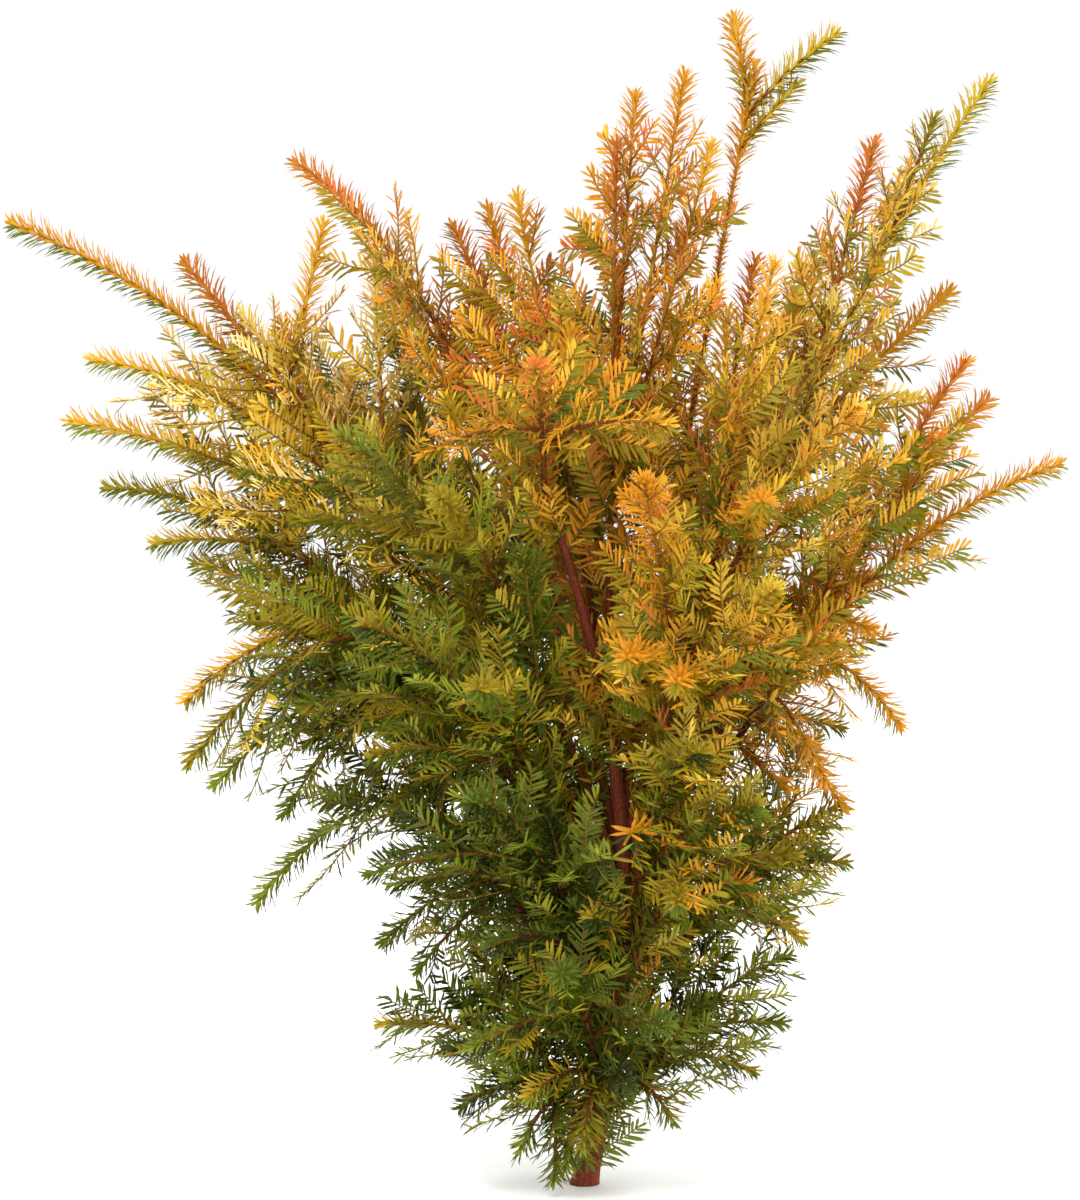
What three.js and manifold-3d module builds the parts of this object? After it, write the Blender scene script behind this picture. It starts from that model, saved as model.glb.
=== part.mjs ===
// A young golden yew rooted in the ground: one trunk, the boughs that leave it low down, and a
// mass of needled shoots at the end of each. Millimetres, +Z up, and -Y faces the viewer.
// The origin is the middle of the flat cut at ground level.
import * as THREE from 'three';
import Module from 'manifold-3d';

const wasm = await Module();
wasm.setup();

// Driving sizes
const TRUNK_HEIGHT = 548;
const TRUNK_RADIUS = { foot: 8.4, flare: 3.6, flareHeight: 14, tip: 2.6 };
const TRUNK_LEAN = [[0, 0, 0], [40, -30, 180], [45, -95, 330], [-31, -128, TRUNK_HEIGHT]];
const BOUGH_RADIUS = { base: 2.3, perLength: 0.0032, tipShare: 0.66 };
const SHOOT_RADIUS = { leader: 2.6, side: 1.8, tip: 0.9 };
const NEEDLE = { leader: 20, side: 27, spacing: 29, sweep: 36, notch: 0.45, shares: [1, 0.75, 0.5, 0.3] };
const SIDE_SHOOT = { spacing: 48, angle: 54, longest: 120, shortest: 40, share: 0.62 };

// How a side shoot grows: the spread of its place, angle and turn round the leader, the least and
// the random part of its length, shorter tries where there is no room, and how far it runs
// straight, then on outwards and along the leader, as shares of its length
const FORK = { slip: 0.4, spread: 24, roll: 80, least: 0.75, more: 0.4, tries: [1, 0.75, 0.5] };
const FORK_SHAPE = { straight: 0.55, outwards: 0.3, along: 0.2 };

// Toothed blades: their places round the axis in degrees, and how they widen from the root and
// narrow to the tip
const BLADES = { leader: [90, 210, 330], side: [108, 252], ridge: [0], twist: 9 };
const TAPER = { ends: 0.5, opening: 3, closing: 2 };
const GAP = 0.3;
const CLEARANCE = 0.35;
const ROOM = { own: 15, other: 25, limb: 12, needle: 2, ground: 3, foot: 14, step: 5, joint: 14 };
const SAMPLE_STEP = 8;
const SIDES = { trunk: 10, bough: 6 };
const TRUNK_STATIONS = [0, 0.012, 0.03, 0.06, 0.1, 0.2, 0.32, 0.44, 0.56, 0.68, 0.8, 0.9, 1];
const STATION = 60;
const TUFT = 0.78;
const SMOOTHED = 1.6;
const CONTROL_ALONG = 0.4;
const SEED = 41;
const SEED_STEP = { mass: 97, leader: 13 };

// The trunk shows in two windows in the front of the crown, each given by its middle across and
// up, its half width and its half height. Foliage in front of them is left out.
const WINDOWS = [
  { x: 27, z: 288, halfWidth: 15, halfHeight: 44 },
  { x: -4, z: 464, halfWidth: 16, halfHeight: 42 },
];

// One row is a mass and the bough that carries it. rises is the height where the bough leaves
// the trunk, and bare the share of its course before the mass begins; a mass with bare 0 sits on
// the trunk. A leader is the azimuth, reach and height of its tip, the free length at its end
// with no side shoots, its bend, and the share of the main leader where it starts. Azimuth 0 is
// +X, the viewer's right, and 270 faces the viewer. fan spreads further leaders beside the main
// one, that many degrees to each side. thin shortens the needles along the main leader, all but
// at its end.
const MASSES = [
  { name: 'far_left', tint: 'gold', rises: 212, bare: 0.36, leaders: [
    [183, 434, 743, 240, 0.3], [176, 308, 713, 110, 0.05, 0.3], [186, 262, 675, 40, 0.1, 0.25],
    [184, 199, 743, 90, 0.02, 0.38], [181, 161, 720, 70, 0.03, 0.12], [181, 232, 668, 30, 0.05, 0.15]] },
  { name: 'left_gold', tint: 'gold', rises: 172, bare: 0.36, leaders: [
    [187, 374, 640, 100, 0.42], [175, 398, 591, 120, 0.16, 0.08]] },
  { name: 'left_low', tint: 'olive', rises: 134, bare: 0.36, leaders: [
    [183, 364, 543, 110, 0.42], [191, 330, 503, 90, 0.34, 0.15], [171, 306, 480, 60, 0.1, 0.12],
    [188, 250, 440, 30, 0.2, 0.1]] },
  { name: 'left_drop', tint: 'green', rises: 112, bare: 0.34, leaders: [
    [201, 318, 390, 110, 0.82], [208, 330, 349, 60, 0.5, 0.2], [194, 288, 322, 30, 0.35, 0.15],
    [196, 190, 318, 20, 0.12, 0.06], [192, 150, 296, 20, 0.15, 0.03], [199, 240, 300, 20, 0.3, 0.22],
    [190, 215, 348, 20, 0.3, 0.1], [193, 262, 356, 30, 0.4, 0.15]] },
  { name: 'low_left', tint: 'green', rises: 54, bare: 0.3, leaders: [
    [180, 253, 221, 90, 1], [172, 158, 186, 30, 0.3, 0.02], [176, 200, 300, 30, 0.2, 0.2],
    [194, 112, 225, 20, 0.1, 0.04], [188, 150, 262, 20, 0.2, 0.1],
    [190, 130, 172, 20, 0.15, 0.02], [182, 122, 236, 20, 0.15, 0.06]] },
  { name: 'foot_left', tint: 'green', rises: 34, bare: 0, leaders: [
    [203, 103, 68, 20, 0.6], [240, 48, 9, 20, 0.5, 0.3], [196, 112, 112, 20, 0.3, 0.3],
    [188, 158, 130, 20, 0.3, 0.3], [212, 100, 165, 20, 0.2, 0.2], [222, 78, 92, 20, 0.3, 0.2],
    [222, 66, 38, 20, 0.5, 0.25], [206, 92, 190, 20, 0.1, 0.2]] },
  { name: 'foot_right', tint: 'green', rises: 42, bare: 0, leaders: [
    [344, 134, 96, 30, 0.5], [322, 84, 62, 20, 0.4, 0.25], [350, 154, 132, 30, 0.3, 0.3],
    [355, 158, 182, 20, 0.2, 0.2], [4, 110, 205, 20, 0.1, 0.12], [338, 100, 150, 20, 0.2, 0.25]] },
  { name: 'low_right', tint: 'olive', rises: 66, bare: 0.34, leaders: [
    [3, 202, 250, 50, 0.5], [352, 197, 300, 30, 0.2, 0.15], [14, 165, 200, 30, 0.2, 0.25],
    [346, 130, 240, 20, 0.2, 0.08], [2, 180, 348, 20, 0.1, 0.2], [352, 168, 196, 20, 0.5, 0.06],
    [338, 150, 288, 20, 0.15, 0.04], [352, 185, 262, 20, 0.3, 0.1]] },
  { name: 'right_drop', tint: 'amber', rises: 150, bare: 0.34, leaders: [
    [340, 250, 369, 50, 1], [330, 205, 330, 40, 0.45, 0.2], [350, 200, 300, 30, 0.3, 0.1],
    [334, 168, 318, 20, 0.06, 0.05], [341, 226, 440, 30, 0.5, 0.15]] },
  { name: 'right_edge', tint: 'amber', rises: 122, bare: 0.36, leaders: [
    [8, 265, 512, 130, 0.5], [0, 222, 474, 110, 0.25, 0.12], [18, 210, 440, 30, 0.25, 0.16]] },
  { name: 'right_long', tint: 'amber', rises: 182, bare: 0.36, leaders: [
    [357, 360, 560, 150, 0.32], [8, 315, 607, 80, 0.15, 0.2], [350, 290, 640, 70, 0.1, 0.12]] },
  { name: 'tall_right', tint: 'olive', rises: 224, bare: 0.42, thin: 0.7, leaders: [
    [3, 308, 850, 150, 0.2], [12, 290, 690, 90, 0.04, 0.1], [354, 219, 803, 60, 0.02, 0.2],
    [355, 264, 822, 30, 0.05, 0.6], [352, 160, 690, 40, 0.05, 0.05]] },
  { name: 'top_tuft', tint: 'olive', rises: 292, bare: 0.4, thin: 0.5, leaders: [
    [350, 130, 862, 300, 0.03], [2, 113, 897, 70, 0.05, 0.92], [350, 191, 885, 70, 0.1, 0.9],
    [352, 160, 848, 70, 0, 0.84]] },
  { name: 'plume', tint: 'russet', rises: 374, bare: 0.3, leaders: [
    [295, 54, 803, 50, 0.05], [318, 98, 853, 60, 0, 0.1], [315, 52, 838, 30, 0, 0.3],
    [325, 95, 745, 30, 0, 0.08], [322, 118, 800, 40, 0, 0.12]] },
  { name: 'red_cluster', tint: 'russet', rises: 336, bare: 0.36, leaders: [
    [202, 56, 763, 50, 0.1], [182, 100, 740, 50, 0.05, 0.05], [168, 76, 754, 50, 0, 0.1]] },
  { name: 'arch_left', tint: 'amber', rises: 262, bare: 0.4, leaders: [
    [176, 222, 790, 120, 0.38], [160, 165, 705, 40, 0.1, 0.1], [192, 140, 660, 40, 0.1, 0.05]] },
  { name: 'front_left_up', tint: 'olive', rises: 238, bare: 0.24, fan: 20, leaders: [
    [224, 250, 590, 40, 0.3]] },
  { name: 'front_left', tint: 'green', rises: 152, bare: 0.22, fan: 20, leaders: [
    [232, 262, 455, 20, 0.36], [246, 190, 408, 20, 0.1, 0.14], [254, 172, 505, 20, 0.05, 0.1],
    [226, 225, 356, 20, 0.3, 0.15]] },
  { name: 'front_left_low', tint: 'green', rises: 92, bare: 0.2, fan: 33, leaders: [
    [246, 205, 325, 20, 0.4], [214, 175, 250, 20, 0.3, 0.2], [236, 130, 205, 20, 0.3, 0.05],
    [258, 130, 300, 20, 0.1, 0.1], [266, 112, 236, 20, 0.1, 0.05]] },
  { name: 'front_foot', tint: 'green', rises: 60, bare: 0, fan: 34, leaders: [
    [262, 140, 190, 20, 0.4], [240, 84, 84, 20, 0.3, 0.12], [268, 66, 44, 20, 0.5, 0.08],
    [290, 88, 96, 20, 0.3, 0.12], [254, 56, 24, 20, 0.6, 0.06]] },
  { name: 'front_right_low', tint: 'amber', rises: 116, bare: 0.22, fan: 20, leaders: [
    [312, 185, 312, 20, 0.4], [325, 150, 250, 20, 0.2, 0.1]] },
  { name: 'front_middle', tint: 'amber', rises: 158, bare: 0, fan: 16, leaders: [
    [294, 200, 360, 20, 0.4], [272, 140, 232, 20, 0.2, 0.08]] },
  { name: 'front_right', tint: 'amber', rises: 204, bare: 0.24, fan: 18, leaders: [
    [304, 240, 480, 20, 0.34], [281, 205, 560, 20, 0.1, 0.3], [292, 130, 600, 20, 0.05, 0.34],
    [277, 222, 432, 20, 0.4, 0.2]] },
  { name: 'front_right_up', tint: 'amber', rises: 270, bare: 0.26, fan: 18, leaders: [
    [318, 262, 610, 20, 0.3], [316, 190, 714, 60, 0.05, 0.08], [336, 139, 716, 50, 0.05, 0.1]] },
  { name: 'front_tip', tint: 'amber', rises: TRUNK_HEIGHT, bare: 0, fan: 26, leaders: [
    [260, 215, 640, 20, 0.2]] },
  { name: 'back_left_up', tint: 'olive', rises: 192, bare: 0.34, fan: 18, leaders: [
    [146, 290, 640, 80, 0.3]] },
  { name: 'back_left', tint: 'green', rises: 78, bare: 0.34, fan: 20, leaders: [
    [150, 270, 430, 80, 0.4], [136, 225, 340, 30, 0.3, 0.1]] },
  { name: 'back_top', tint: 'amber', rises: 312, bare: 0.34, fan: 24, leaders: [
    [92, 235, 655, 80, 0.24]] },
  { name: 'back_middle', tint: 'green', rises: 162, bare: 0.34, fan: 20, leaders: [
    [96, 275, 500, 80, 0.34]] },
  { name: 'back_right_up', tint: 'amber', rises: 246, bare: 0.34, fan: 18, leaders: [
    [44, 275, 650, 80, 0.3]] },
  { name: 'back_right', tint: 'olive', rises: 100, bare: 0.34, fan: 20, leaders: [
    [46, 240, 410, 60, 0.4], [62, 205, 345, 30, 0.3, 0.1]] },
  { name: 'back_foot', tint: 'green', rises: 48, bare: 0, fan: 34, leaders: [
    [92, 165, 215, 20, 0.45], [97, 190, 310, 30, 0.3, 0.1], [132, 155, 262, 20, 0.3, 0.15],
    [56, 155, 270, 20, 0.3, 0.15]] },
];

// The leaders of a fan: how far each turns towards the fan's angle, its share of the main
// leader's reach, how far below the main tip it ends, its bend and where it starts.
const FAN = [
  { turn: 1, reach: 0.97, drop: 42, bend: 0.2, from: 0.28 },
  { turn: -1, reach: 0.95, drop: 66, bend: 0.2, from: 0.4 },
  { turn: 0.2, reach: 0.62, drop: -25, bend: 0.05, from: 0.2 },
];

const TINTS = { green: 0x4c5a1c, olive: 0x7d7426, gold: 0xc89a35, amber: 0xb98427, russet: 0xb5622a };
const BARK = new THREE.MeshStandardMaterial({ color: 0x6e3a28, roughness: 0.85, metalness: 0 });

const UP = new THREE.Vector3(0, 0, 1);
const radians = THREE.MathUtils.degToRad;
const lerp = THREE.MathUtils.lerp;

// Seeded random numbers from 0 to 1, the same on every run.
function randomFrom(seed) {
  let state = seed >>> 0;
  return () => {
    state = (state + 0x6d2b79f5) >>> 0;
    let t = state;
    t = Math.imul(t ^ (t >>> 15), t | 1);
    t ^= t + Math.imul(t ^ (t >>> 7), t | 61);
    return ((t ^ (t >>> 14)) >>> 0) / 4294967296;
  };
}

function polar(azimuth, reach, height) {
  const a = radians(azimuth);
  return new THREE.Vector3(reach * Math.cos(a), reach * Math.sin(a), height);
}

// A curve from start to tip that rises above the straight line by bend times its length.
function arc(start, tip, bend) {
  const control = start.clone().lerp(tip, CONTROL_ALONG);
  control.addScaledVector(UP, bend * start.distanceTo(tip));
  return new THREE.QuadraticBezierCurve3(start, control, tip);
}

// The stretch of a quadratic curve between two of its parameters.
function stretch(curve, from, to) {
  const blossom = (s, t) => {
    const a = curve.v0.clone().lerp(curve.v1, s);
    return a.lerp(curve.v1.clone().lerp(curve.v2, s), t);
  };
  return new THREE.QuadraticBezierCurve3(blossom(from, from), blossom(from, to), blossom(to, to));
}

// Two directions across a curve at each point, from one fixed side direction.
function crossAxes(curve, u, side) {
  const along = curve.getTangent(u);
  const across = side.clone().addScaledVector(along, -side.dot(along)).normalize();
  return { along, across, over: new THREE.Vector3().crossVectors(along, across) };
}

function sideOf(curve) {
  const side = new THREE.Vector3().crossVectors(curve.getTangent(0), curve.getTangent(1));
  if (side.length() < 1e-3) side.crossVectors(curve.getTangent(0.5), UP);
  if (side.length() < 1e-3) side.set(0, 1, 0);
  return side.normalize();
}

function solidFrom(points, faces) {
  const vertProperties = new Float32Array(points.flatMap((p) => [p.x, p.y, p.z]));
  const triVerts = new Uint32Array(faces.flat());
  return new wasm.Manifold(new wasm.Mesh({ numProp: 3, vertProperties, triVerts }));
}

// A closed tube through rings of equal size, its ends flat or drawn to one point.
function skin(rings, tip) {
  const points = rings.flat();
  const n = rings[0].length;
  const faces = [];
  for (let j = 0; j + 1 < rings.length; j += 1) {
    for (let i = 0; i < n; i += 1) {
      const a = j * n + i;
      const b = j * n + ((i + 1) % n);
      faces.push([a, b, b + n], [a, b + n, a + n]);
    }
  }
  for (let i = 1; i + 1 < n; i += 1) faces.push([0, i + 1, i]);
  const last = (rings.length - 1) * n;
  if (tip) {
    points.push(tip);
    for (let i = 0; i < n; i += 1) faces.push([last + i, last + ((i + 1) % n), points.length - 1]);
  } else {
    for (let i = 1; i + 1 < n; i += 1) faces.push([last, last + i, last + i + 1]);
  }
  return solidFrom(points, faces);
}

function ring(curve, u, side, radius, sides) {
  const centre = curve.getPoint(u);
  const { across, over } = crossAxes(curve, u, side);
  return Array.from({ length: sides }, (_, i) => {
    const angle = (2 * Math.PI * i) / sides;
    return centre.clone().addScaledVector(across, radius * Math.cos(angle))
      .addScaledVector(over, radius * Math.sin(angle));
  });
}

// A tapering limb. clear makes it fatter and longer all round, to cut its neighbours away.
function limbSolid(limb, clear = 0) {
  const { curve, side, radius, sides, stations } = limb;
  const rings = stations.map((u) => ring(curve, u, side, radius(u) + clear, sides));
  if (limb.onGround) rings[0].forEach((p) => p.setZ(-clear));
  rings.at(-1).forEach((p) => p.addScaledVector(curve.getTangent(1), clear));
  return skin(rings);
}

function makeTrunk() {
  const curve = new THREE.CubicBezierCurve3(...TRUNK_LEAN.map((p) => new THREE.Vector3(...p)));
  const { foot, flare, flareHeight, tip } = TRUNK_RADIUS;
  const radius = (u) => lerp(foot, tip, u) + flare * Math.exp((-u * TRUNK_HEIGHT) / flareHeight);
  const side = new THREE.Vector3(0, 1, 0);
  return { name: 'trunk', curve, radius, stations: TRUNK_STATIONS, side, sides: SIDES.trunk, onGround: true };
}

function makeBough(mass, course) {
  const curve = stretch(course, 0, mass.bare);
  const base = BOUGH_RADIUS.base + BOUGH_RADIUS.perLength * course.getLength();
  const radius = (u) => lerp(base, base * BOUGH_RADIUS.tipShare, u);
  const count = Math.max(3, Math.round(curve.getLength() / STATION));
  const stations = Array.from({ length: count + 1 }, (_, i) => i / count);
  const name = `bough_${mass.name}`;
  return { name, curve, radius, stations, side: sideOf(curve), sides: SIDES.bough };
}

function sampleCount(curve) {
  return Math.max(3, Math.ceil(curve.getLength() / SAMPLE_STEP));
}

// The points of an axis that other shoots keep away from.
function samples(curve, radius, owner) {
  const count = sampleCount(curve);
  return Array.from({ length: count + 1 }, (_, i) => {
    const u = i / count;
    return { point: curve.getPoint(u), radius: radius(u), owner, curve };
  });
}

// A leader is round, with its own free length, and a side shoot is flat.
function makeShoot(owner, curve, kind, own = {}) {
  const radius = (u) => lerp(SHOOT_RADIUS[kind], SHOOT_RADIUS.tip, u);
  const [side, length] = [sideOf(curve), curve.getLength()];
  return { owner, curve, radius, side, length, round: kind === 'leader', ...own };
}

function inWindow(point) {
  return WINDOWS.some((w) => point.y < 0 && Math.abs(point.x - w.x) < w.halfWidth
    && Math.abs(point.z - w.z) < w.halfHeight);
}

// The middle of the trunk at a height, found by halving.
function trunkPoint(curve, height) {
  let [low, high] = [0, 1];
  for (let i = 0; i < 30; i += 1) {
    const middle = (low + high) / 2;
    if (curve.getPoint(middle).z < height) low = middle;
    else high = middle;
  }
  return curve.getPoint((low + high) / 2);
}

function fanned({ leaders, fan }) {
  if (!fan) return leaders;
  const [azimuth, reach, height, free] = leaders[0];
  return [...leaders, ...FAN.map((f) => [
    azimuth + f.turn * fan, reach * f.reach, height - f.drop, free, f.bend, f.from])];
}

// The leaders of one mass. The first carries on along the bough's course, and each other one
// leaves it at its own share.
function makeLeaders(mass, index, trunk) {
  const start = trunkPoint(trunk.curve, mass.rises);
  const leaders = fanned(mass);
  const [azimuth, reach, height, , bend] = leaders[0];
  const course = arc(start, polar(azimuth, reach, height), bend);
  const begin = mass.bare ? mass.bare + GAP / course.getLength() : 0;
  const main = stretch(course, begin, 1);
  const shoots = leaders.map(([az, out, up, free, rise, from], k) => {
    const curve = k === 0 ? main : arc(main.getPoint(from), polar(az, out, up), rise);
    return makeShoot(index, curve, 'leader', { free, thin: k === 0 ? mass.thin : 1 });
  });
  return { course, shoots };
}

// A side shoot of one length, from a place on its leader: out at an angle, then bent back towards
// the way the leader grows.
function sideCurve(root, heading, along, long) {
  const { straight, outwards, along: onwards } = FORK_SHAPE;
  const control = root.clone().addScaledVector(heading, long * straight);
  const tip = control.clone().addScaledVector(heading, long * outwards);
  tip.addScaledVector(along, long * onwards);
  return new THREE.QuadraticBezierCurve3(root, control, tip);
}

// Where and which way a side shoot leaves its leader, and how long it is, with four random numbers.
function sprout({ curve, length, side }, at, hand, [slip, turn, grow, tilt]) {
  const u = (at + (slip - 0.5) * FORK.slip * SIDE_SHOOT.spacing) / length;
  const { along, across, over } = crossAxes(curve, u, side);
  const roll = radians((tilt - 0.5) * FORK.roll);
  const angle = radians(SIDE_SHOOT.angle + (turn - 0.5) * FORK.spread);
  const out = across.multiplyScalar(hand * Math.cos(roll)).addScaledVector(over, Math.sin(roll));
  const heading = along.clone().multiplyScalar(Math.cos(angle)).addScaledVector(out, Math.sin(angle));
  const reach = Math.min(SIDE_SHOOT.longest, SIDE_SHOOT.share * (length - u * length));
  return { root: curve.getPoint(u), heading, along, reach: reach * (FORK.least + FORK.more * grow) };
}

// Side shoots leave a leader left and right in turn, shorter towards its tip. One that would
// leave its own space or touch a limb is made shorter, or else left out.
function makeSideShoots(leader, seed, taken) {
  const random = randomFrom(seed);
  const grown = [];
  const { length, free, owner } = leader;
  let hand = 1;
  for (let at = SIDE_SHOOT.spacing / 2; at < length - free; at += SIDE_SHOOT.spacing) {
    const draws = [random(), random(), random(), random()];
    const { root, heading, along, reach } = sprout(leader, at, hand, draws);
    const curve = FORK.tries.map((share) => reach * share).filter((long) => long >= SIDE_SHOOT.shortest)
      .map((long) => sideCurve(root, heading, along, long)).find((c) => hasRoom(c, owner, taken));
    if (curve) {
      const shoot = makeShoot(owner, curve, 'side');
      grown.push(shoot);
      taken.push(...samples(curve, shoot.radius, owner));
    }
    hand = -hand;
  }
  return grown;
}

function hasRoom(curve, owner, taken) {
  const count = sampleCount(curve);
  for (let i = 2; i <= count; i += 1) {
    const point = curve.getPoint(i / count);
    if (point.z < ROOM.foot || inWindow(point)) return false;
    const least = (t) => {
      if (t.owner === 'limb') return t.radius + ROOM.limb;
      return t.owner === owner ? Math.min(ROOM.own, i * ROOM.step) : ROOM.other;
    };
    if (taken.some((t) => point.distanceTo(t.point) < least(t))) return false;
  }
  return true;
}

// Whether a needle point that stands long away from its shoot has its place: nearer to its own
// shoot than to any other, clear of the limbs and the ground, and out of the windows.
function fits(point, long, shoot, taken) {
  if (point.z < ROOM.ground || inWindow(point)) return false;
  return taken.every((t) => {
    if (t.curve === shoot.curve) return true;
    const away = point.distanceTo(t.point);
    if (t.owner === 'limb') return away > t.radius + ROOM.needle;
    return away > (t.owner === shoot.owner ? long * 0.9 : long + ROOM.needle);
  });
}

// The places of one ring of a shoot's solid: its ridge, then the edge of each blade. Every other
// edge is a tooth that leans forward and stands for a few needles. It is drawn in where it has no
// place.
function shootRing(shoot, j, u, taken) {
  const { curve, round, side, thin = 1 } = shoot;
  const centre = curve.getPoint(u);
  const { along, across, over } = crossAxes(curve, u, side);
  const core = shoot.radius(u);
  const { ends, opening, closing } = TAPER;
  const taper = Math.min(u < TUFT ? thin : 1, ends + opening * u, ends + closing * (1 - u));
  const widest = taper * (round ? NEEDLE.leader : NEEDLE.side);
  const outward = (degrees) => {
    const angle = radians(degrees + (round ? j * BLADES.twist : 0));
    return across.clone().multiplyScalar(Math.cos(angle)).addScaledVector(over, Math.sin(angle));
  };
  const edge = (degrees, k) => {
    const tooth = (j + k) % 2 === 1;
    const full = widest * (tooth ? 1 : NEEDLE.notch);
    const sweep = tooth ? radians(NEEDLE.sweep) : 0;
    const out = outward(degrees);
    const heading = out.clone().multiplyScalar(Math.cos(sweep)).addScaledVector(along, Math.sin(sweep));
    const at = (long) => centre.clone().addScaledVector(heading, long);
    const fitting = (share) => full * share > core && fits(at(full * share), full * share, shoot, taken);
    const share = j > 0 && NEEDLE.shares.find(fitting);
    return share ? at(full * share) : centre.clone().addScaledVector(out, core);
  };
  const ridge = round ? [] : BLADES.ridge;
  return [
    ...ridge.map((degrees) => centre.clone().addScaledVector(outward(degrees), core)),
    ...(round ? BLADES.leader : BLADES.side).map(edge),
  ];
}

// A shoot as one solid: three toothed blades round a leader, and one flat toothed blade with a
// ridge along it for a side shoot.
function shootSolid(shoot, taken) {
  const count = Math.max(4, Math.round(shoot.length / NEEDLE.spacing));
  const rings = Array.from({ length: count }, (_, j) => shootRing(shoot, j, j / count, taken));
  return skin(rings, shoot.curve.getPoint(1));
}

// The largest closed body of a solid: scraps and sealed hollows are dropped.
function wholeBody(solid) {
  return solid.decompose().reduce((best, body) => (body.volume() > best.volume() ? body : best));
}

function meshOf(name, solid, material) {
  const { vertProperties, triVerts } = solid.getMesh();
  const geometry = new THREE.BufferGeometry();
  geometry.setAttribute('position', new THREE.BufferAttribute(vertProperties, 3));
  geometry.setIndex(new THREE.BufferAttribute(triVerts, 1));
  geometry.computeVertexNormals();
  const mesh = new THREE.Mesh(geometry, material);
  mesh.name = name;
  return mesh;
}

// The boughs, each cut clear of the trunk and of the boughs before it. Gives the solids that keep
// every limb clear, and whose they are.
function addBoughs(yew, trunk, grown, taken) {
  const cleared = [{ owner: 'trunk', solid: limbSolid(trunk, CLEARANCE) }];
  grown.forEach(({ course, shoots }, index) => {
    const mass = MASSES[index];
    if (mass.bare) {
      const bough = makeBough(mass, course);
      const cut = cleared.reduce((rest, { solid }) => rest.subtract(solid), limbSolid(bough));
      yew.add(meshOf(bough.name, wholeBody(cut), BARK));
      cleared.push({ owner: index, solid: limbSolid(bough, CLEARANCE) });
      taken.push(...samples(bough.curve, bough.radius, 'limb')
        .filter(({ point }) => point.distanceTo(bough.curve.v2) > ROOM.joint));
    }
    shoots.forEach((shoot) => taken.push(...samples(shoot.curve, shoot.radius, index)));
  });
  return cleared;
}

// A mass: all its shoots joined, and cut clear of every limb but the one that carries it.
function massSolid(index, shoots, cleared, taken) {
  const whole = wasm.Manifold.union(shoots.map((shoot) => shootSolid(shoot, taken))).simplify(SMOOTHED);
  const others = cleared.filter(({ owner }) => owner !== index);
  return wholeBody(others.reduce((rest, { solid }) => rest.subtract(solid), whole));
}

function makeYew() {
  const yew = new THREE.Group();
  const trunk = makeTrunk();
  yew.add(meshOf('trunk', limbSolid(trunk), BARK));
  const taken = samples(trunk.curve, trunk.radius, 'limb');
  const grown = MASSES.map((mass, index) => makeLeaders(mass, index, trunk));
  const cleared = addBoughs(yew, trunk, grown, taken);
  grown.forEach(({ shoots }, index) => {
    [...shoots].forEach((leader, k) => {
      shoots.push(...makeSideShoots(leader, SEED + SEED_STEP.mass * index + SEED_STEP.leader * k, taken));
    });
  });
  grown.forEach(({ shoots }, index) => {
    const mass = MASSES[index];
    const color = TINTS[mass.tint];
    const material = new THREE.MeshStandardMaterial({ color, roughness: 0.7, metalness: 0 });
    yew.add(meshOf(`foliage_${mass.name}`, massSolid(index, shoots, cleared, taken), material));
  });
  return yew;
}

export default makeYew();
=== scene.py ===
"""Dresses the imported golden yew: bark on its limbs, and twigs and needles grown in each mass.

The boughs and shoots follow the same seeded rule as the part's source, in millimetres, and are
carried on to finer twigs within the same reach.
"""

import math

import bpy
import numpy as np
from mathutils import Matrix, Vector


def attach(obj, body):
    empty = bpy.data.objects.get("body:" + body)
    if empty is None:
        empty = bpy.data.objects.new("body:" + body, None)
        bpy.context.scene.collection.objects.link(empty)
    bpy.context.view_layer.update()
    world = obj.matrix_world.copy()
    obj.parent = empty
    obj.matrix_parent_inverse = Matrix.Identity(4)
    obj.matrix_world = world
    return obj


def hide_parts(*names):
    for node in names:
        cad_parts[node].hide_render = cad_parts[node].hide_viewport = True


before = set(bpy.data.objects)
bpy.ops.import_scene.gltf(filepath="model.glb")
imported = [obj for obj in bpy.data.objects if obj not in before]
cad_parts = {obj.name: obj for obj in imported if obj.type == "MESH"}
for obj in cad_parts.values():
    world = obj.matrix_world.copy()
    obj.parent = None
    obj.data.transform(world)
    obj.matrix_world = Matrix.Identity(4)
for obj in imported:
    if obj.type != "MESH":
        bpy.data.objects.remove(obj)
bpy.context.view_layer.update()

MM = 0.001

# The part's driving sizes, in millimetres and degrees
TRUNK_HEIGHT = 548
TRUNK_RADIUS = {"foot": 8.4, "flare": 3.6, "flare_height": 14, "tip": 2.6}
TRUNK_LEAN = np.array([[0, 0, 0], [40, -30, 180], [45, -95, 330], [-31, -128, TRUNK_HEIGHT]], float)
BOUGH_RADIUS = {"base": 2.3, "per_length": 0.0032, "tip_share": 0.66}
SIDE_SHOOT = {"spacing": 48, "angle": 54, "longest": 120, "shortest": 40, "share": 0.62, "free": 20}
FORK = {"slip": 0.4, "spread": 24, "roll": 80, "least": 0.75, "more": 0.4, "tries": (1, 0.75, 0.5)}
FORK_SHAPE = {"straight": 0.55, "outwards": 0.3, "along": 0.2}
GAP = 0.3
ROOM = {"own": 15, "other": 25, "limb": 12, "foot": 14, "step": 5, "joint": 14}
SAMPLE_STEP = 8
CONTROL_ALONG = 0.4
SEED = 41
SEED_STEP = {"mass": 97, "leader": 13}

# The seeds of what only this script draws, and what marks a limb among the owners of points
SEED_OF = {"twigs": SEED, "bark": SEED + 1, "mass": SEED + 1000}
LIMB = -1

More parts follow.
